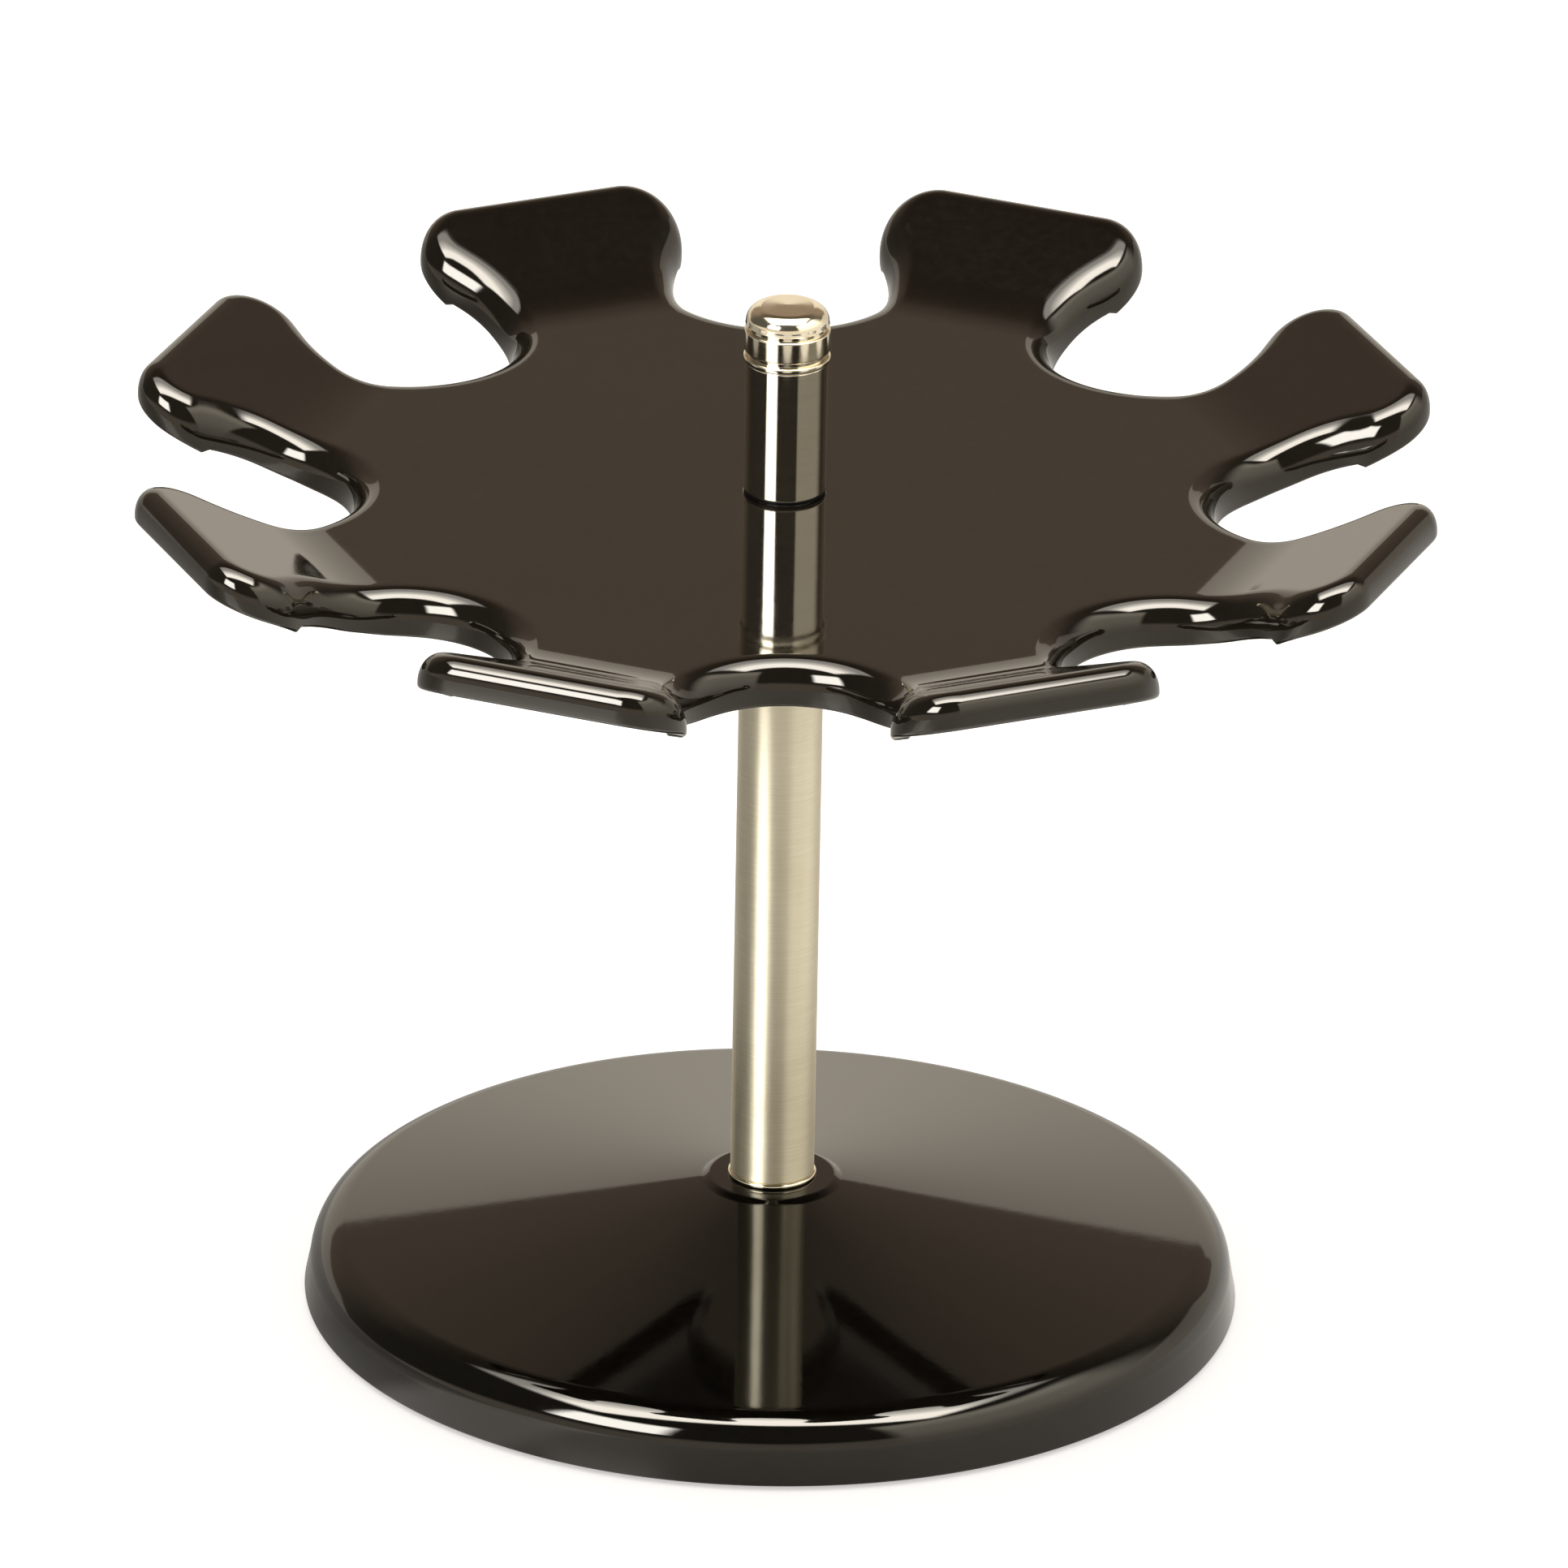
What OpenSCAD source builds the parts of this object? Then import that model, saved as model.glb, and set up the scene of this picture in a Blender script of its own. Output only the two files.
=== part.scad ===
// Desk carousel for hand stamps. Millimetres, +Z up, origin on the desk under the middle of the base.

/* [Base] */
// diameter of the base at the desk
base_d = 100; // [80:1:130]
// height of the rolled rim of the base
rim_h = 8; // [7:0.1:12]
// radius of the roll at the rim
rim_r = 4.5; // [3:0.1:5]
// height at which the post stands on the base
boss_z = 14.3; // [13:0.1:18]
// wall of the moulded cover
cover_wall = 2.2; // [1.6:0.1:3]
// thickness of the rubber pad under the base
pad_t = 1.2; // [0.8:0.1:2]
// how far the pad stands proud of the cover
pad_proud = 0.5; // [0.2:0.1:0.8]

/* [Post] */
// outer diameter of the post tube
post_d = 9; // [8:0.1:12]
// wall of the post tube
post_wall = 1; // [0.8:0.1:1.5]
// height of the flat top of the plate above the desk
plate_z = 94.1; // [70:0.1:120]
// diameter of the threaded tie rod
rod_d = 5; // [4:0.5:5]

/* [Plate] */
// radius of a notch
notch_r = 11.6; // [9:0.05:12.5]
// distance of the notch centres from the axis
notch_centre = 57.5; // [55:0.1:62]
// angle by which each notch wall opens outwards
flare = 14; // [0:1:20]
// distance of the flaps' outer edges from the axis
flap_reach = 70.4; // [68:0.1:74]
// corner radius of the flaps in plan
flap_corner = 5.6; // [4:0.1:7]
// where the flaps start to turn up
bend_start = 48.2; // [44:0.1:52]
// length over which a flap bends
bend_length = 8.6; // [6:0.1:16]
// slope of the flaps past the bend
flap_slope = 22.7; // [0:0.1:35]
// thickness of the plate's skin
skin = 2.2; // [1.6:0.1:3]
// thickness of the rim that hangs from the plate's edge
rim_wall = 2; // [1.5:0.1:3]
// depth of the rim at the bottom of the notches
notch_depth = 5.2; // [4.5:0.1:8]
// depth of the rim round the flaps
flap_depth = 4.95; // [3.8:0.05:8]
// how far the small lugs at the flaps' corners hang below the rim
lug = 0.85; // [0:0.05:1.5]
// rounding of the plate's top edge
edge_r = 3; // [0.8:0.1:3.2]
// depth of the hub below the plate's top
hub_depth = 7.7; // [6:0.1:10]

/* [Bearing] */
// outer diameter of the sleeve that the hub turns on
bearing_d = 7; // [6.6:0.1:7]
// running gap between sleeve and bush on each side
running_gap = 0.05; // [0.02:0.01:0.1]
// axial play of the plate
play = 0.1; // [0.05:0.05:0.3]
// thickness of the lower thrust washer
lower_washer_t = 0.8; // [0.5:0.1:1.2]
// thickness of the upper thrust washer
upper_washer_t = 0.4; // [0.3:0.1:0.8]

/* [Neck and knob] */
// diameter of the sleeve above the plate
neck_d = 8.7; // [8:0.1:10]
// length of the sleeve above the plate
neck_l = 14.8; // [10:0.1:20]
// diameter of collar and knob
knob_d = 9.3; // [9:0.1:12]
// thickness of the collar
collar_t = 0.7; // [0.5:0.1:1.5]
// height of the ring under the knob with its two grooves
ring_h = 3.5; // [2.5:0.1:6]
// height of the knob's cap
cap_h = 2.1; // [2:0.1:5]

/* [Hidden] */
$fn = 96;

arms = 8;
half = 180 / arms;
base_r = base_d / 2;
wall_r = base_r - 0.55;
cover_z = pad_proud;
seat_z = boss_z - 3;
boss_r = 6;
pocket_z = 8.2;
nut_z = 2;
nut_h = 4;
lock_h = 1.2;
hole_r = rod_d / 2 + 0.1;
foot_t = 0.6;
post_z = boss_z + foot_t;
flange_t = 0.7;
hub_z = plate_z - hub_depth;
bush_z = hub_z - flange_t;
bush_h = 6.3;
bush_r = 5;
post_top = bush_z - play / 2 - lower_washer_t;
post_bore = post_d / 2 - post_wall;
plug_h = 10;
neck_z = plate_z + play / 2 + upper_washer_t;
collar_z = neck_z + neck_l;
ring_z = collar_z + collar_t;
cap_z = ring_z + ring_h;
groove_r = knob_d / 2 - 0.4;
rod_end = cap_z + cap_h - 1.2;

notch_x = notch_centre * cos(half);
notch_y = notch_centre * sin(half);
arc_end = half - 90 + flare;
wall_angle = half + flare;
wall_run = (flap_reach - flap_corner - notch_x - (notch_r + flap_corner) * cos(arc_end)) / cos(wall_angle);
corner_x = flap_reach - flap_corner;
corner_y = notch_y + (notch_r + flap_corner) * sin(arc_end) + wall_run * sin(wall_angle);
arc_steps = 10;
corner_steps = 7;
rows = arc_steps + corner_steps + 3;
row_points = 2 * rows - 1;
ring_points = arms * row_points;
// inset from the outline, depth below the top surface and share of the rim's depth, from the top edge round the
// rim to the underside of the skin
levels = [
    for (a = [0:22.5:90]) [edge_r * (1 - sin(a)), edge_r * (1 - cos(a)), 0],
    [0, -0.5, 1],
    [0.5, 0, 1],
    [rim_wall - 0.2, 0, 1],
    [rim_wall, -0.2, 1],
    [rim_wall, skin + 0.6, 0],
    [rim_wall + 0.6, skin, 0]];
last = len(levels) - 1;

// points of an arc from angle a to angle b
function arc(x, y, r, a, b, n) = [for (k = [0:n]) [x + r * cos(a + (b - a) * k / n), y + r * sin(a + (b - a) * k / n)]];

// height of the plate's top at distance x along an arm
function rise(x) = x < bend_start ? 0
    : x < bend_start + bend_length ? tan(flap_slope) * pow(x - bend_start, 2) / (2 * bend_length)
    : tan(flap_slope) * (x - bend_start - bend_length / 2);

// half of an arm's outline, from the bottom of the notch to the end of the flap, moved in by i
function edge(j, i) = j <= arc_steps
    ? let (a = half - 180 + (arc_end + 180 - half) * j / arc_steps)
        [notch_x + (notch_r + i) * cos(a), notch_y + (notch_r + i) * sin(a)]
    : j == arc_steps + 1
    ? 0.5 * edge(j - 1, i) + 0.5 * edge(j + 1, i)
    : let (a = (arc_end + 180) * (1 - (j - arc_steps - 2) / corner_steps))
        [corner_x + (flap_corner - i) * cos(a), corner_y + (flap_corner - i) * sin(a)];

// depth of the rim: it eases from the notch to the flap, and a small lug hangs where the flap's corner begins
function rim_depth(j) = j <= arc_steps + 1
    ? let (s = min(1, max(0, (bend_start + 5 - edge(j, 0)[0]) / 6)))
        flap_depth + (notch_depth - flap_depth) * s * s * (3 - 2 * s)
    : flap_depth + lug * max(0, 1 - 3 * (j - arc_steps - 2) / corner_steps);

// a point of the plate: level v, arm a, place k round the arm
function plate_point(v, a, k) = let (
    j = k < rows ? k : row_points - k,
    side = k < rows ? -1 : 1,
    p = edge(j, v[0]),
    depth = v[1] + v[2] * rim_depth(j),
    t = half + 2 * half * a - 90)
    [p[0] * cos(t) - side * p[1] * sin(t), p[0] * sin(t) + side * p[1] * cos(t), plate_z + rise(p[0]) - depth];

function index(l, a, k) = l * ring_points + (a * row_points + k) % ring_points;

module turned(points) {
    rotate_extrude() polygon(points);
}

// a turned ring with small chamfers c
module ring(z, h, r_in, r_out, c) {
    turned([[r_in, z], [r_out - c, z], [r_out, z + c], [r_out, z + h - c], [r_out - c, z + h], [r_in, z + h]]);
}

module plate_shell() {
    points = [
        for (v = levels) for (a = [0:arms - 1]) for (k = [0:row_points - 1]) plate_point(v, a, k),
        [0, 0, plate_z],
        [0, 0, plate_z - skin]];
    top = len(points) - 2;
    faces = [
        for (l = [0:last - 1]) for (m = [0:ring_points - 1]) let (
            a = l * ring_points + m,
            b = l * ring_points + (m + 1) % ring_points)
            each [[a, b, b + ring_points], [a, b + ring_points, a + ring_points]],
        for (a = [0:arms - 1]) for (j = [0:rows - 2]) let (
            p = index(0, a, j),
            q = index(0, a, j + 1),
            r = index(0, a, row_points - j - 1),
            s = index(0, a, row_points - j))
            each [[p, s, r], [p, r, q]],
        for (a = [0:arms - 1]) for (j = [0:rows - 2]) let (
            p = index(last, a, j),
            q = index(last, a, j + 1),
            r = index(last, a, row_points - j - 1),
            s = index(last, a, row_points - j))
            each [[p, q, r], [p, r, s]],
        for (a = [0:arms - 1]) [top, index(0, a + 1, 0), index(0, a, 0)],
        for (a = [0:arms - 1]) [top + 1, index(last, a, 0), index(last, a + 1, 0)]];
    polyhedron(points, faces);
}

module non_slip_pad() {
    color("dimgray") ring(0, pad_t, 0, base_r - 3, 0.3);
}

module base_nut() {
    color("silver") difference() {
        intersection() {
            translate([0, 0, nut_z]) cylinder(h = nut_h, r = 4 / cos(30), $fn = 6);
            ring(nut_z, nut_h, 0, 4.6, 0.5);
        }
        translate([0, 0, nut_z - 1]) cylinder(h = nut_h + 2, r = rod_d / 2 + 0.05);
    }
}

module spring_washer() {
    color("silver") difference() {
        ring(nut_z + nut_h, lock_h, hole_r, 4.6, 0.1);
        translate([3.6, 0, nut_z + nut_h + lock_h / 2]) rotate([25, 0, 0]) cube([4, 0.7, 4], center = true);
    }
}

module base_washer() {
    color("silver") ring(nut_z + nut_h + lock_h, pocket_z - nut_z - nut_h - lock_h, hole_r, 5, 0.1);
}

module ballast_disc() {
    color("slategray") difference() {
        turned([[hole_r, pad_t], [base_r - 6.6, pad_t], [base_r - 6, pad_t + 0.6], [base_r - 6.4, rim_h - 2.9],
            [base_r - 6.8, rim_h - 2.6], [12, seat_z - 1], [11, seat_z], [hole_r, seat_z]]);
        translate([0, 0, pad_t - 1]) cylinder(h = pocket_z - pad_t + 1, r1 = 10, r2 = 9.2);
    }
}

module base_cover() {
    color("black") turned(concat(
        [[hole_r + 0.1, seat_z], [12, seat_z], [13, seat_z - 0.2]],
        arc(wall_r - rim_r, rim_h - rim_r, rim_r - cover_wall, 80, 0, 8),
        [[base_r - cover_wall - 0.3, cover_z], [base_r - 0.4, cover_z], [base_r, cover_z + 0.4]],
        arc(wall_r - rim_r, rim_h - rim_r, rim_r, 2, 81, 12),
        arc(9.2, boss_z + 0.1, 1, -98, -120, 2),
        [[boss_r + 0.4, boss_z - 0.15], [boss_r, boss_z], [hole_r + 0.1, boss_z]]));
}

module tie_rod() {
    color("silver") ring(nut_z - 0.5, rod_end - nut_z + 0.5, 0, rod_d / 2, 0.4);
}

module post_foot_ring() {
    color("gold") turned(concat([[hole_r, boss_z]],
        arc(post_d / 2 - 0.05, boss_z + foot_t / 2, foot_t / 2, -90, 90, 8),
        [[hole_r, post_z]]));
}

module post_lower_plug() {
    color("gray") ring(post_z, plug_h, hole_r, post_bore - 0.03, 0.4);
}

module post_tube() {
    color("tan") ring(post_z, post_top - post_z, post_bore, post_d / 2, 0.15);
}

module post_upper_plug() {
    color("gray") ring(post_top - plug_h, plug_h, hole_r, post_bore - 0.03, 0.4);
}

module lower_thrust_washer() {
    color("ivory") ring(post_top, lower_washer_t, bearing_d / 2 + 0.1, 6, 0.1);
}

module bearing_sleeve() {
    color("silver") ring(post_top, neck_z - post_top, hole_r, bearing_d / 2, 0.1);
}

module upper_thrust_washer() {
    color("black") ring(neck_z - upper_washer_t, upper_washer_t, bearing_d / 2 + 0.1, neck_d / 2 - 0.05, 0.05);
}

module neck_sleeve() {
    color("tan") ring(neck_z, neck_l, hole_r, neck_d / 2, 0.12);
}

module neck_collar() {
    color("tan") turned(concat([[hole_r, collar_z]],
        arc(knob_d / 2 - 0.2, collar_z + 0.25, 0.2, -60, 0, 3),
        arc(knob_d / 2 - 0.15, collar_z + collar_t - 0.15, 0.15, 0, 90, 4),
        [[hole_r, collar_z + collar_t]]));
}

module knob_ring() {
    low = ring_z + 0.55;
    high = ring_z + ring_h - 0.5;
    color("tan") turned(concat([[hole_r, ring_z], [groove_r, ring_z], [groove_r, low]],
        arc(knob_d / 2 - 0.25, low + 0.2, 0.2, -90, 0, 4),
        arc(knob_d / 2 - 0.25, high - 0.2, 0.2, 0, 90, 4),
        [[groove_r, high], [groove_r, cap_z], [hole_r, cap_z]]));
}

module knob_cap() {
    shoulder = 1.6;
    flat_r = knob_d / 2 - 1.1;
    color("tan") difference() {
        turned(concat([[0, cap_z], [knob_d / 2 - 0.15, cap_z], [knob_d / 2 - 0.02, cap_z + 0.12]],
            [for (a = [0:10:80]) [flat_r + 1.1 * cos(a), cap_z + cap_h - shoulder + shoulder * sin(a)]],
            [[flat_r, cap_z + cap_h], [0, cap_z + cap_h]]));
        translate([0, 0, cap_z - 1]) cylinder(h = rod_end - cap_z + 1.2, r = rod_d / 2 + 0.05);
    }
}

module carousel_plate() {
    color("black") difference() {
        union() {
            plate_shell();
            translate([0, 0, hub_z]) cylinder(h = hub_depth - 1, r1 = 7.6, r2 = 8.2);
            for (a = [0:arms - 1]) {
                rotate(2 * half * a) translate([6, -0.75, plate_z - skin - 2.4]) cube([37, 1.5, 3]);
            }
        }
        translate([0, 0, hub_z - 1]) cylinder(h = bush_h - flange_t + 1, r = bush_r);
        translate([0, 0, hub_z - 1]) cylinder(h = hub_depth + 2, r = bearing_d / 2 + 0.3);
    }
}

module hub_bush() {
    color("ivory") turned([[bearing_d / 2 + running_gap, bush_z], [6.2, bush_z], [6.4, bush_z + 0.2], [6.4, hub_z],
        [bush_r - 0.02, hub_z], [bush_r - 0.02, bush_z + bush_h - 0.3], [bush_r - 0.3, bush_z + bush_h],
        [bearing_d / 2 + running_gap, bush_z + bush_h]]);
}

non_slip_pad();
base_nut();
spring_washer();
base_washer();
ballast_disc();
base_cover();
tie_rod();
post_foot_ring();
post_lower_plug();
post_tube();
post_upper_plug();
lower_thrust_washer();
bearing_sleeve();
upper_thrust_washer();
neck_sleeve();
neck_collar();
knob_ring();
knob_cap();
carousel_plate();
hub_bush();
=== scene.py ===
import math

import bmesh
import bpy
from mathutils import Matrix, Vector


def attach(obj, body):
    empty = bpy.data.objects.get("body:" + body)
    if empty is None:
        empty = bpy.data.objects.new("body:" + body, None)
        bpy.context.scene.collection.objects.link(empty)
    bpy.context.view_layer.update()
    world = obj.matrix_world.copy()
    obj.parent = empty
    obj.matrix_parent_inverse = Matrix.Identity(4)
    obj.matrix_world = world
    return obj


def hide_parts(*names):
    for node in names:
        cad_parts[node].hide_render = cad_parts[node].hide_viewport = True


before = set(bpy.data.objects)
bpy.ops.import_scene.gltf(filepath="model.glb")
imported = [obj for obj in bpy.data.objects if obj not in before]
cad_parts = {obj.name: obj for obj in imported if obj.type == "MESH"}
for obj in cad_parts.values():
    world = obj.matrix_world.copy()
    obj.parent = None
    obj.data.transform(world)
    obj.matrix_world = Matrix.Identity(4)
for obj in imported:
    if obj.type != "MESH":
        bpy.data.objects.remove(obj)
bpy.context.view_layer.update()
scene = bpy.context.scene
scene.view_settings.view_transform = "Standard"
MM = 0.001
TAU = 2 * math.pi


def sind(a):
    return math.sin(math.radians(a))


def cosd(a):
    return math.cos(math.radians(a))


# ---------------------------------------------------------------- materials

class Net:
    """A node tree that is written as nested calls."""

    def __init__(self, tree):
        self.tree = tree
        tree.nodes.clear()

    def node(self, kind, inputs=None, **settings):
        n = self.tree.nodes.new(kind)
        for key, value in settings.items():
            setattr(n, key, value)
        for key, value in (inputs or {}).items():
            if isinstance(value, bpy.types.NodeSocket):
                self.tree.links.new(value, n.inputs[key])
            else:
                n.inputs[key].default_value = value
        return n

    def math(self, operation, a, b=0.0):
        return self.node("ShaderNodeMath", {0: a, 1: b}, operation=operation).outputs[0]

    def ramp(self, value, stops):
        n = self.node("ShaderNodeValToRGB", {0: value})
        band = n.color_ramp
        while len(band.elements) < len(stops):
            band.elements.new(0.5)
        for element, (place, colour) in zip(band.elements, stops):
            element.position = place
            element.color = (*colour, 1) if len(colour) == 3 else colour
        return n.outputs[0]

    def noise(self, vector, scale, detail=3.0, rough=0.55):
        n = self.node("ShaderNodeTexNoise", {"Vector": vector, "Scale": scale, "Detail": detail, "Roughness": rough})
        return n.outputs["Fac"]

    def stretched(self, scale):
        place = self.node("ShaderNodeTexCoord").outputs["Object"]
        return self.node("ShaderNodeMapping", {"Vector": place, "Scale": scale}).outputs["Vector"]

    def mix(self, factor, a, b):
        n = self.node("ShaderNodeMix", {0: factor, 6: a, 7: b}, data_type="RGBA")
        return n.outputs[2]

    def range(self, value, low, high, to_low=0.0, to_high=1.0, smooth=False):
        kind = "SMOOTHSTEP" if smooth else "LINEAR"
        n = self.node("ShaderNodeMapRange", {0: value, 1: low, 2: high, 3: to_low, 4: to_high},
                      interpolation_type=kind)
        return n.outputs[0]

    def curve(self, value, low, high, points):
        """A curve of levels through points (place, level) between the places low and high."""
        top = max(level for _, level in points)
        stops = [((place - low) / (high - low), (level / top,) * 3) for place, level in points]
        return self.math("MULTIPLY", self.ramp(self.range(value, low, high), stops), top)

    def step(self, value, low, high):
        return self.range(value, low, high, smooth=True)

    def box(self, value, low, high, soft_low, soft_high):
        """1 between low and high and 0 outside, with soft ends."""
        start = self.step(value, low - soft_low, low + soft_low)
        return self.math("MULTIPLY", start, self.step(value, high + soft_high, high - soft_high))

    def lit(self, colour, level):
        n = self.node("ShaderNodeMix", {0: level, 6: (0, 0, 0, 1), 7: (*colour, 1)},
                      data_type="RGBA", clamp_factor=False)
        return n.outputs[2]

    def bearing(self, x, front):
        """Degrees about the post: 0 is the viewer's side, positive to the right."""
        return self.math("MULTIPLY", self.math("ARCTAN2", x, front), 180 / math.pi)


def material(name, colours, rough, bump=(), metallic=0.0, **sockets):
    """A surface whose colour varies between two colours and its roughness between two values, with bump layers of
    (mapping scale, noise scale, height in metres)."""
    m = bpy.data.materials.new(name)
    m.use_nodes = True
    net = Net(m.node_tree)
    even = net.stretched((1, 1, 1))
    blotch = net.noise(even, 55.0, 4.0)
    fine = net.noise(net.stretched(sockets.pop("grain", (1, 1, 1))), sockets.pop("grain_scale", 900.0), 4.0, 0.6)
    shade = net.math("ADD", net.math("MULTIPLY", blotch, 0.5), net.math("MULTIPLY", fine, 0.5))
    shader = net.node("ShaderNodeBsdfPrincipled", {
        "Base Color": net.mix(net.range(shade, 0.35, 0.65), (*colours[0], 1), (*colours[1], 1)),
        "Roughness": net.range(fine, 0.3, 0.7, *rough),
        "Metallic": metallic})
    for key, value in sockets.items():
        shader.inputs[key.replace("_", " ")].default_value = value
    if "Anisotropic" in sockets:
        round_z = net.node("ShaderNodeTangent", direction_type="RADIAL", axis="Z").outputs[0]
        net.tree.links.new(round_z, shader.inputs["Tangent"])
    normal = None
    for scale, size, height in bump:
        layer = net.noise(net.stretched(scale), size, 4.0, 0.6)
        inputs = {"Height": layer, "Distance": height, "Strength": 1.0}
        if normal is not None:
            inputs["Normal"] = normal
        normal = net.node("ShaderNodeBump", inputs).outputs[0]
    if normal is not None:
        net.tree.links.new(normal, shader.inputs["Normal"])
    out = net.node("ShaderNodeOutputMaterial")
    net.tree.links.new(shader.outputs[0], out.inputs[0])
    return m


def lacquer(name, colours):
    return material(name, colours, (0.035, 0.06),
                    bump=(((1, 1, 1), 260.0, 2.2e-6), ((1, 1, 1), 1400.0, 1.0e-6)),
                    IOR=1.5, Specular_Tint=(1.0, 0.95, 0.88, 1))


plate_black = lacquer("plate_lacquer", ((0.0085, 0.0062, 0.0038), (0.0125, 0.0094, 0.006)))
base_black = lacquer("base_lacquer", ((0.002, 0.0016, 0.001), (0.0042, 0.0033, 0.002)))
satin = material("satin_nickel", ((0.68, 0.62, 0.47), (0.82, 0.77, 0.61)), (0.40, 0.45), metallic=1.0,
                 grain=(0.12, 0.12, 6.0), grain_scale=1500.0, Anisotropic=0.9, Anisotropic_Rotation=0.25,
                 bump=(((0.05, 0.05, 8.0), 1400.0, 4e-7),))
nickel = material("polished_nickel", ((0.74, 0.68, 0.55), (0.84, 0.79, 0.67)), (0.06, 0.11), metallic=1.0,
                  grain=(0.12, 0.12, 5.0), grain_scale=900.0,
                  bump=(((0.05, 0.05, 6.0), 1200.0, 3e-7),))
knob_nickel = material("knob_nickel", ((0.74, 0.66, 0.50), (0.84, 0.77, 0.62)), (0.08, 0.14), metallic=1.0,
                       grain=(0.3, 0.3, 3.0), grain_scale=900.0,
                       bump=(((1, 1, 1), 900.0, 6e-7),))
zinc = material("zinc_plated_steel", ((0.50, 0.50, 0.49), (0.68, 0.68, 0.66)), (0.28, 0.45), metallic=1.0,
                bump=(((1, 1, 1), 1800.0, 2e-6),))
ground = material("ground_steel", ((0.55, 0.55, 0.54), (0.70, 0.70, 0.69)), (0.16, 0.28), metallic=1.0,
                  grain=(0.1, 0.1, 6.0), bump=(((0.05, 0.05, 8.0), 1400.0, 1.5e-6),))
alloy = material("turned_aluminium", ((0.62, 0.62, 0.62), (0.76, 0.76, 0.76)), (0.25, 0.4), metallic=1.0,
                 grain=(0.1, 0.1, 4.0), bump=(((0.05, 0.05, 5.0), 1200.0, 3e-6),))
iron = material("painted_cast_iron", ((0.07, 0.07, 0.07), (0.13, 0.13, 0.125)), (0.5, 0.75),
                bump=(((1, 1, 1), 500.0, 9e-5), ((1, 1, 1), 2200.0, 2e-5)))
rubber = material("black_rubber", ((0.018, 0.018, 0.018), (0.035, 0.035, 0.034)), (0.65, 0.85),
                  bump=(((1, 1, 1), 2600.0, 3e-5), ((1, 1, 1), 300.0, 2e-5)))
acetal = material("natural_acetal", ((0.78, 0.77, 0.71), (0.86, 0.85, 0.80)), (0.32, 0.45),
                  bump=(((1, 1, 1), 1500.0, 3e-6),))
black_acetal = material("black_acetal", ((0.002, 0.002, 0.002), (0.005, 0.005, 0.005)), (0.3, 0.45),
                        bump=(((1, 1, 1), 1500.0, 3e-6),), Specular_IOR_Level=0.12)


# ---------------------------------------------------------------- shapes

def arc(x, y, r, a, b, n, ry=None):
    ry = r if ry is None else ry
    return [(x + r * cosd(a + (b - a) * k / n), y + ry * sind(a + (b - a) * k / n)) for k in range(n + 1)]


def piece(name, verts, faces, mat, body, nodes, sharp=32):
    mesh = bpy.data.meshes.new(name)
    mesh.from_pydata([(x * MM, y * MM, z * MM) for x, y, z in verts], [], faces)
    mesh.validate()
    bm = bmesh.new()
    bm.from_mesh(mesh)
    bmesh.ops.recalc_face_normals(bm, faces=bm.faces)
    bm.to_mesh(mesh)
    bm.free()
    mesh.polygons.foreach_set("use_smooth", [True] * len(mesh.polygons))
    mesh.set_sharp_from_angle(angle=math.radians(sharp))
    mesh.materials.append(mat)
    obj = bpy.data.objects.new(name, mesh)
    scene.collection.objects.link(obj)
    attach(obj, body)
    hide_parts(*nodes)
    return obj


def lathe_mesh(profile, segments=256, closed=True):
    """Vertices and faces of a profile of (r, z) points turned about Z."""
    verts, faces, rings = [], [], []
    for r, z in profile:
        if r < 1e-6:
            rings.append([len(verts)] * segments)
            verts.append((0, 0, z))
        else:
            rings.append(list(range(len(verts), len(verts) + segments)))
            verts += [(r * math.cos(TAU * k / segments), r * math.sin(TAU * k / segments), z) for k in range(segments)]
    pairs = list(zip(rings, rings[1:] + (rings[:1] if closed else [])))
    if not closed:
        pairs = pairs[:len(rings) - 1]
    for a, b in pairs:
        for k in range(segments):
            n = (k + 1) % segments
            face = list(dict.fromkeys([a[k], a[n], b[n], b[k]]))
            if len(face) > 2:
                faces.append(face)
    return verts, faces


def held(profile):
    """The profile with a short step at both ends of its long straight parts, which keeps their shading flat."""
    points = []
    for (r0, z0), (r1, z1) in zip(profile, profile[1:] + profile[:1]):
        points.append((r0, z0))
        length = math.hypot(r1 - r0, z1 - z0)
        if length > 1.5:
            points += [(r0 + (r1 - r0) * t, z0 + (z1 - z0) * t) for t in (0.03 / length, 1 - 0.03 / length)]
    return points


def turned(name, profile, mat, node, segments=256):
    """A piece of the stand, turned about Z."""
    verts, faces = lathe_mesh(profile, segments)
    return piece(name, verts, faces, mat, "stand", [node])


# heights along the post, from the desk, and radii, in millimetres
RIM_H, RIM_R, BOSS_Z = 8.0, 4.5, 14.3
PLATE_Z = 94.1
POST_Z, POST_TOP = 14.9, 84.85
NECK_Z = 94.55
COLLAR_Z = 109.35
RING_Z = 110.05
CAP_Z = 113.55
TOP_Z = 115.65
HOLE_R = 2.6
WALL_R, POST_R, NECK_R, GROOVE_R, KNOB_R = 49.45, 4.5, 4.35, 4.25, 4.65
COVER_WALL = 2.2

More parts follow.
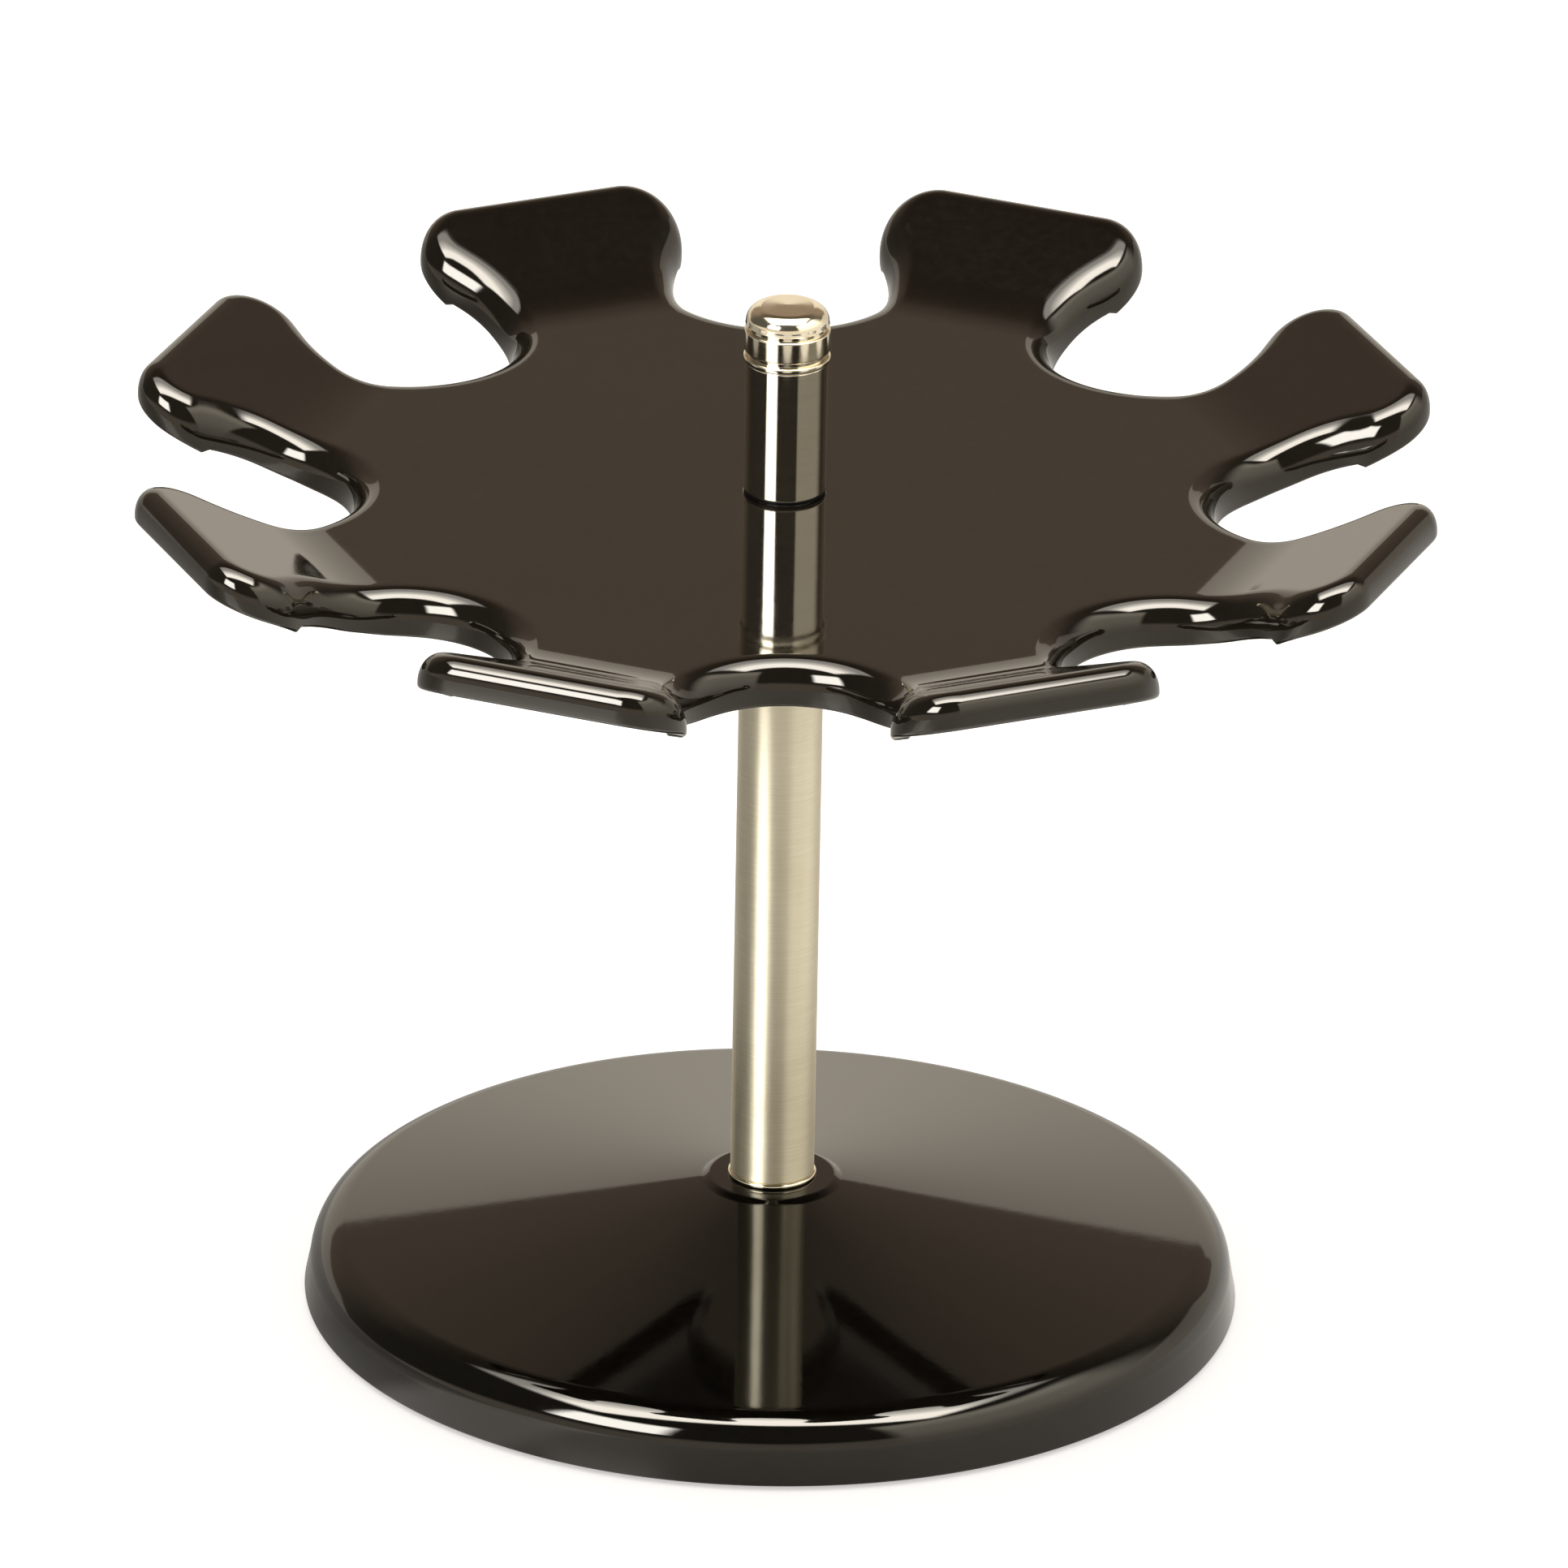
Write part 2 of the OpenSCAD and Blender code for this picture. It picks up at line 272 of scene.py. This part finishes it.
# base, from the inside out: the wall, the rolled rim, the straight slope of the dome (it meets the roundings without
# a corner, so it isn't held), and the small boss at the post
cover = (
    [(HOLE_R + 0.1, BOSS_Z - 3), (12, BOSS_Z - 3), (13, BOSS_Z - 3.2)]
    + arc(WALL_R - RIM_R, RIM_H - RIM_R, RIM_R - COVER_WALL, 80, 0, 12)
    + [(47.5, 0.5)] + arc(49.75, 0.75, 0.25, -90, 0, 4)
    + arc(WALL_R - RIM_R, RIM_H - RIM_R, RIM_R, 2, 81, 40)
    + arc(7.9, BOSS_Z + 0.5, 1.0, -99, -118, 6)
    + arc(6.6, BOSS_Z - 0.8, 0.8, 58, 90, 6) + [(HOLE_R + 0.1, BOSS_Z)])
turned("base_dome", cover, base_black, "base_cover", segments=384)

turned("foot_ring", held(
    [(HOLE_R, BOSS_Z)] + arc(POST_R - 0.05, BOSS_Z + 0.3, 0.3, -90, 90, 14) + [(HOLE_R, BOSS_Z + 0.6)]),
    knob_nickel, "post_foot_ring")

turned("post", held(
    [(POST_R - 1, POST_Z)] + arc(POST_R - 0.18, POST_Z + 0.18, 0.18, -90, 0, 5)
    + arc(POST_R - 0.18, POST_TOP - 0.18, 0.18, 0, 90, 5) + [(POST_R - 1, POST_TOP)]),
    satin, "post_tube")

turned("neck", held(
    [(HOLE_R, NECK_Z)] + arc(NECK_R - 0.15, NECK_Z + 0.15, 0.15, -90, 0, 5)
    + arc(NECK_R - 0.15, COLLAR_Z - 0.15, 0.15, 0, 90, 5) + [(HOLE_R, COLLAR_Z)]),
    nickel, "neck_sleeve")

turned("collar", held(
    [(HOLE_R, COLLAR_Z), (KNOB_R - 0.25, COLLAR_Z)] + arc(KNOB_R - 0.22, COLLAR_Z + 0.25, 0.22, -60, 0, 6)
    + arc(KNOB_R - 0.18, COLLAR_Z + 0.52, 0.18, 0, 90, 6) + [(HOLE_R, RING_Z)]),
    knob_nickel, "neck_collar")

low, high = RING_Z + 0.55, CAP_Z - 0.5
turned("under_knob_ring", held(
    [(HOLE_R, RING_Z), (GROOVE_R, RING_Z), (GROOVE_R, low)] + arc(KNOB_R - 0.25, low + 0.2, 0.2, -90, 0, 6)
    + arc(KNOB_R - 0.25, high - 0.2, 0.2, 0, 90, 6) + [(GROOVE_R, high), (GROOVE_R, CAP_Z), (HOLE_R, CAP_Z)]),
    knob_nickel, "knob_ring")

turned("knob", held(
    [(0, CAP_Z + 0.85), (2.3, CAP_Z + 0.85), (2.55, CAP_Z + 0.6), (2.55, CAP_Z), (KNOB_R - 0.25, CAP_Z),
     (KNOB_R - 0.15, CAP_Z + 0.1)]
    + arc(2.6, TOP_Z - 1.75, 1.85, 0, 90, 32, ry=1.65) + [(0, TOP_Z)]),
    knob_nickel, "knob_cap")

# plate: the plan of the solid in finer steps. To match the photo more closely, the bend is 2 mm shorter than the
# solid's, the rounding falls further than it goes in, and the rim hangs 0.3 mm less.
ARMS, HALF = 8, 22.5
NOTCH_R, NOTCH_C, FLARE = 11.6, 57.5, 14.0
REACH, CORNER = 70.4, 5.6
BEND_0, BEND_L, SLOPE = 49.2, 6.6, 22.7
SKIN, WALL, EDGE, FALL = 2.2, 2.0, 3.0, 3.9
DEEP, SHALLOW, LUG = 4.9, 4.6, 0.55
SHALLOW_X, DEEPEN = 53.2, 6.0  # where the rim of the flap ends, and how far it takes to reach its depth in the notch
HUB_Z = PLATE_Z - 7.7
RIB_START, RIB_END, RIB_DEPTH = 7.2, 43.0, 2.4
nx, ny = NOTCH_C * cosd(HALF), NOTCH_C * sind(HALF)
arc_end = HALF - 90 + FLARE
run = (REACH - CORNER - nx - (NOTCH_R + CORNER) * cosd(arc_end)) / cosd(HALF + FLARE)
cx = REACH - CORNER
cy = ny + (NOTCH_R + CORNER) * sind(arc_end) + run * sind(HALF + FLARE)
ARC_N, CORNER_N = 40, 24
ROWS = ARC_N + CORNER_N + 3


def rise(x):
    x -= BEND_0
    t = math.tan(math.radians(SLOPE))
    return 0.0 if x < 0 else t * x * x / (2 * BEND_L) if x < BEND_L else t * (x - BEND_L / 2)


def edge(j, i):
    """A point of half an arm's outline, moved in by i, and the depth of the rim there: deep in the notch, shallow
    round the flap, with a small lug where the flap's corner begins."""
    if j <= ARC_N:
        a = HALF - 180 + (arc_end + 180 - HALF) * j / ARC_N
        s = min(1.0, max(0.0, (SHALLOW_X - nx - NOTCH_R * cosd(a)) / DEEPEN))
        depth = SHALLOW + (DEEP - SHALLOW) * s * s * (3 - 2 * s)
        return nx + (NOTCH_R + i) * cosd(a), ny + (NOTCH_R + i) * sind(a), depth
    if j == ARC_N + 1:
        (x0, y0, _), (x1, y1, _) = edge(j - 1, i), edge(j + 1, i)
        return (x0 + x1) / 2, (y0 + y1) / 2, SHALLOW
    t = (j - ARC_N - 2) / CORNER_N
    a = (arc_end + 180) * (1 - t)
    return cx + (CORNER - i) * cosd(a), cy + (CORNER - i) * sind(a), SHALLOW + LUG * max(0.0, 1 - 3 * t) ** 2


# rows of the skin from its top over the rim to its underside: inset, drop, and the share of the rim's depth
levels = [(EDGE + 0.5, 0, 0)]
levels += [(EDGE * (1 - sind(a)), FALL * (1 - cosd(a)), 0) for a in range(0, 91, 6)]
levels += [(0, -0.6, 1)]
levels += [(0.5 * (1 - cosd(a)), -0.5 * (1 - sind(a)), 1) for a in range(0, 91, 18)]
levels += [(WALL - 0.25 * (1 - sind(a)), -0.25 * (1 - cosd(a)), 1) for a in range(0, 91, 30)]
levels += [(WALL + 0.6 * (1 - sind(a)), SKIN + 0.6 * (1 - cosd(a)), 0) for a in range(90, -1, -15)]
levels += [(WALL + 1.1, SKIN, 0)]

verts, faces = [], []
per_arm = 2 * ROWS - 1
ring = ARMS * per_arm
for inset, drop, share in levels:
    for arm in range(ARMS):
        t = HALF + 45 * arm - 90
        for k in range(per_arm):
            x, y, rim = edge(k if k < ROWS else per_arm - k, inset)
            y = -y if k < ROWS else y
            z = PLATE_Z + rise(x) - (drop + share * rim)
            verts.append((x * cosd(t) - y * sind(t), x * sind(t) + y * cosd(t), z))
for l in range(len(levels) - 1):
    for m in range(ring):
        a, b = l * ring + m, l * ring + (m + 1) % ring
        faces.append((a, b, b + ring, a + ring))


def at(l, arm, k):
    return l * ring + (arm * per_arm + k) % ring


last = len(levels) - 1
for l in (0, last):
    for arm in range(ARMS):
        for j in range(ROWS - 1):
            faces.append((at(l, arm, j), at(l, arm, j + 1), at(l, arm, per_arm - j - 1), at(l, arm, per_arm - j)))

# hub, bore and the flat middle of the plate, joined to both sides of the skin
SEG = 96
profile = [(4.6, PLATE_Z), (3.95, PLATE_Z), (3.8, PLATE_Z - 0.15), (3.8, HUB_Z + 5.6), (5.0, HUB_Z + 5.6), (5.0, HUB_Z)]
profile += [(7.3, HUB_Z), (7.6, HUB_Z + 0.3), (8.15, PLATE_Z - SKIN - 0.5), (8.65, PLATE_Z - SKIN),
            (9.2, PLATE_Z - SKIN)]
hub_verts, hub_faces = lathe_mesh(profile, SEG, closed=False)
start = len(verts)
verts += hub_verts
faces += [tuple(start + v for v in f) for f in hub_faces]
for l, first in ((0, start), (last, start + (len(profile) - 1) * SEG)):
    step = SEG // ARMS
    for arm in range(ARMS):
        p, q = at(l, arm, 0), at(l, arm + 1, 0)
        # the arm's innermost points lie at its edges, half a step from the arm's own direction
        k0 = round(((45 * arm - 90) % 360) / 360 * SEG)
        circle = [first + (k0 + s) % SEG for s in range(step + 1)]
        mid = step // 2
        faces += [(p, circle[s], circle[s + 1]) for s in range(mid)]
        faces.append((p, circle[mid], q))
        faces += [(q, circle[s], circle[s + 1]) for s in range(mid, step)]
# stiffening ribs, here under the arms (the solid's ribs run between them, towards the notches)
for arm in range(ARMS):
    t = 45 * arm + HALF
    n = len(verts)
    section = [(-0.85, 0.4), (-0.7, 0.25 - RIB_DEPTH), (-0.45, -RIB_DEPTH),
               (0.45, -RIB_DEPTH), (0.7, 0.25 - RIB_DEPTH), (0.85, 0.4)]
    for x in (RIB_START, RIB_END):
        for y, z in section:
            verts.append((x * cosd(t) - y * sind(t), x * sind(t) + y * cosd(t), PLATE_Z - SKIN + z))
    faces += [(n + k, n + (k + 1) % 6, n + 6 + (k + 1) % 6, n + 6 + k) for k in range(6)]
    faces += [tuple(range(n, n + 6)), tuple(range(n + 11, n + 5, -1))]
piece("stamp_plate", verts, faces, plate_black, "carousel", ["carousel_plate"], sharp=50)

# the solids that stay as they are get their finish
finish = {
    "non_slip_pad": rubber, "base_nut": zinc, "spring_washer": zinc, "base_washer": zinc, "ballast_disc": iron,
    "tie_rod": zinc, "post_lower_plug": alloy, "post_upper_plug": alloy, "lower_thrust_washer": acetal,
    "bearing_sleeve": ground, "upper_thrust_washer": black_acetal, "hub_bush": acetal}
for name, mat in finish.items():
    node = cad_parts[name]
    if not node.material_slots:
        node.data.materials.append(mat)
    for s in node.material_slots:
        s.material = mat

# ---------------------------------------------------------------- floor and light

floor_mesh = bpy.data.meshes.new("floor")
floor_mesh.from_pydata([(-4, -4, 0), (4, -4, 0), (4, 4, 0), (-4, 4, 0)], [], [(0, 1, 2, 3)])
floor = bpy.data.objects.new("floor", floor_mesh)
scene.collection.objects.link(floor)
floor_mat = bpy.data.materials.new("floor_white")
floor_mat.use_nodes = True
net = Net(floor_mat.node_tree)
path = net.node("ShaderNodeLightPath").outputs
geo = net.node("ShaderNodeNewGeometry").outputs
place = net.node("ShaderNodeTexCoord").outputs["Object"]
xyz = net.node("ShaderNodeSeparateXYZ", {0: place}).outputs
radius = net.node("ShaderNodeVectorMath", {0: place}, operation="LENGTH").outputs["Value"]
turn = net.bearing(xyz[0], net.math("MULTIPLY", xyz[1], -1.0))
# in reflections the paper carries painted shade, dim at the left and behind, and a painted pool of light before the
# soft box, though not under the base, where only the pad would show it
shade = net.curve(turn, -180, 180, [
    (-180, 0.75), (-144, 0.5), (-79.2, 0.4), (-61.2, 0.75), (-36, 0.95), (0, 0.85), (43.2, 1.0), (100.8, 1.0),
    (133.2, 0.75), (180, 0.75)])
painted_light_pool = net.math("MULTIPLY", net.box(turn, -58, -34, 4, 4), net.range(radius, 0.049, 0.05))
# for glossy rays the paper's colour is darkened by the painted shade
paper_tone_and_painted_shade = net.mix(path["Is Glossy Ray"], (0.86, 0.85, 0.83, 1), net.mix(shade, (0, 0, 0, 1), (0.86, 0.83, 0.78, 1)))
white = net.node("ShaderNodeBsdfDiffuse", {"Color": paper_tone_and_painted_shade}).outputs[0]
sheen = net.node("ShaderNodeBsdfGlossy", {"Color": (1, 1, 1, 1), "Roughness": 0.3}).outputs[0]
paper = net.node("ShaderNodeMixShader", {0: 0.06, 1: white, 2: sheen}).outputs[0]
# the paper is white for the camera; for glossy rays it glows with the painted shade and the painted pool of light
glow = net.node("ShaderNodeEmission", {
    "Color": (1, 0.985, 0.965, 1),
    "Strength": net.math("ADD", net.math("MULTIPLY", path["Is Camera Ray"], 0.5),
                         net.math("MULTIPLY", path["Is Glossy Ray"],
                                  net.math("ADD", net.math("MULTIPLY", shade, 0.2), net.math("MULTIPLY", painted_light_pool, 0.7))))
    }).outputs[0]
both = net.node("ShaderNodeAddShader", {0: paper, 1: glow}).outputs[0]
clear = net.node("ShaderNodeBsdfTransparent").outputs[0]
surface = net.node("ShaderNodeMixShader", {0: geo["Backfacing"], 1: both, 2: clear}).outputs[0]
net.tree.links.new(surface, net.node("ShaderNodeOutputMaterial").inputs[0])
floor_mesh.materials.append(floor_mat)

# the studio as glossy surfaces show it, by bearing (0 is the viewer's side, positive to the right) and height: a
# pale table and backdrop below, a dim room above, a wide panel at the right, a soft box at the left, and a large
# soft box overhead
world = bpy.data.worlds.new("studio")
scene.world = world
world.use_nodes = True
net = Net(world.node_tree)
way = net.node("ShaderNodeTexCoord").outputs["Generated"]
xyz = net.node("ShaderNodeSeparateXYZ", {0: way}).outputs
front = net.math("MULTIPLY", xyz[1], -1.0)
height = net.math("MULTIPLY", net.math("ARCSINE", xyz[2]), 180 / math.pi)
turn = net.bearing(xyz[0], front)
side = net.math("ABSOLUTE", turn)


def grey(warm=1.0):
    """White, slightly warm."""
    return 1.0, 1 - 0.045 * warm, 1 - 0.15 * warm


# where the pale backdrop ends, by bearing: high behind the stand, low at the sides
edge_height = net.curve(turn, -180, 180, [
    (-180, 21.6), (-177, 22.0), (-173, 24.1), (-166, 21.5), (-156, 15), (-144, 11), (-132, 9), (-124, 0), (-108, 0),
    (-96, 4), (-84, 8), (-72, 12), (-60, 15), (24, 17), (36, 19), (136, 20), (140, 12), (150, 12), (156, 19),
    (166, 23), (173, 25.2), (177, 22.0), (180, 21.6)])
edge_soft = net.range(side, 60, 165, 4.0, 0.4)
below = net.math("SUBTRACT", height, edge_height)
band = net.step(below, edge_soft, net.math("MULTIPLY", edge_soft, -1.0))
pale = net.lit((1.0, 0.90, 0.755), net.curve(side, 0, 180, [
    (0, 1.05), (100, 1.0), (130, 0.8), (150, 0.85), (170, 1.1), (180, 1.1)]))
dim = net.lit((1.0, 0.775, 0.585), net.curve(height, 20, 70, [
    (20, 0.38), (25, 0.36), (30, 0.37), (38, 0.34), (44, 0.21), (50, 0.13), (70, 0.06)]))
dark = net.lit(grey(), 0.11)
total = net.mix(band, net.mix(net.step(side, 112, 150), dark, dim), pale)

panel = net.math("MULTIPLY", net.box(turn, 32, 108, 3, 14), net.box(height, -4, 51, 6, 3))
level = net.curve(height, -5, 55, [(-5, 1.0), (10, 1.25), (25, 1.9), (38, 2.2), (46, 3.2), (55, 3.0)])
total = net.mix(panel, total, net.lit(grey(1.3), level))

soft_box = net.math("MULTIPLY", net.box(turn, -57, -27, 3, 3), net.box(height, 22.5, 43.5, 1.5, 2.5))
total = net.mix(soft_box, total, (24, 24, 23.5, 1))

# the overhead box is flat: its place is where a ray meets a plane one metre up
rise_z = net.math("MAXIMUM", xyz[2], 0.05)
across = net.math("DIVIDE", xyz[0], rise_z)
along = net.math("DIVIDE", front, rise_z)
overhead = net.math("MULTIPLY", net.box(across, -0.65, 0.58, 0.06, 0.06), net.box(along, -0.42, 0.4, 0.06, 0.05))
overhead = net.math("MULTIPLY", overhead, net.step(xyz[2], 0.3, 0.4))
level = net.curve(along, -0.5, 0.5, [(-0.5, 4), (-0.2, 5), (0.0, 12), (0.15, 22), (0.5, 22)])
total = net.mix(overhead, total, net.lit(grey(0.5), level))

# everything else is lit by an even white surround, in which a colour looks as it is written
path = net.node("ShaderNodeLightPath").outputs
even = net.mix(net.step(xyz[2], -0.2, 1.0), (0.86, 0.84, 0.80, 1), (1.0, 0.985, 0.96, 1))
shown = net.mix(path["Is Glossy Ray"], even, total)
shown = net.mix(path["Is Camera Ray"], shown, (1, 1, 1, 1))
back = net.node("ShaderNodeBackground", {"Color": shown, "Strength": 1.0}).outputs[0]
net.tree.links.new(back, net.node("ShaderNodeOutputWorld").inputs[0])

# ---------------------------------------------------------------- camera

ELEV, AZIM, ROLL = 24.19, -0.8, 1.055
DIST, PX_PER_MM = 3.7, 11.528
OFF_X, OFF_Y = -7.87, 104.5
focal = PX_PER_MM * DIST * 1000
back_dir = Vector((sind(AZIM) * cosd(ELEV), -cosd(AZIM) * cosd(ELEV), sind(ELEV)))
right = Vector((cosd(AZIM), sind(AZIM), 0))
up = back_dir.cross(right)
right_r = cosd(ROLL) * right + sind(ROLL) * up
up_r = cosd(ROLL) * up - sind(ROLL) * right
aim = -back_dir * focal - right_r * OFF_X + up_r * OFF_Y
aim.normalize()
z_axis = -aim
x_axis = (right_r - z_axis * right_r.dot(z_axis)).normalized()
y_axis = z_axis.cross(x_axis)
camera_data = bpy.data.cameras.new("camera")
camera_data.sensor_width = 36
camera_data.lens = focal / 1932 * 36
camera_data.clip_start, camera_data.clip_end = 0.05, 20
camera = bpy.data.objects.new("camera", camera_data)
scene.collection.objects.link(camera)
turn_matrix = Matrix((x_axis, y_axis, z_axis)).transposed().to_4x4()
camera.matrix_world = Matrix.Translation(Vector((0, 0, 0.05)) + back_dir * DIST) @ turn_matrix
scene.camera = camera
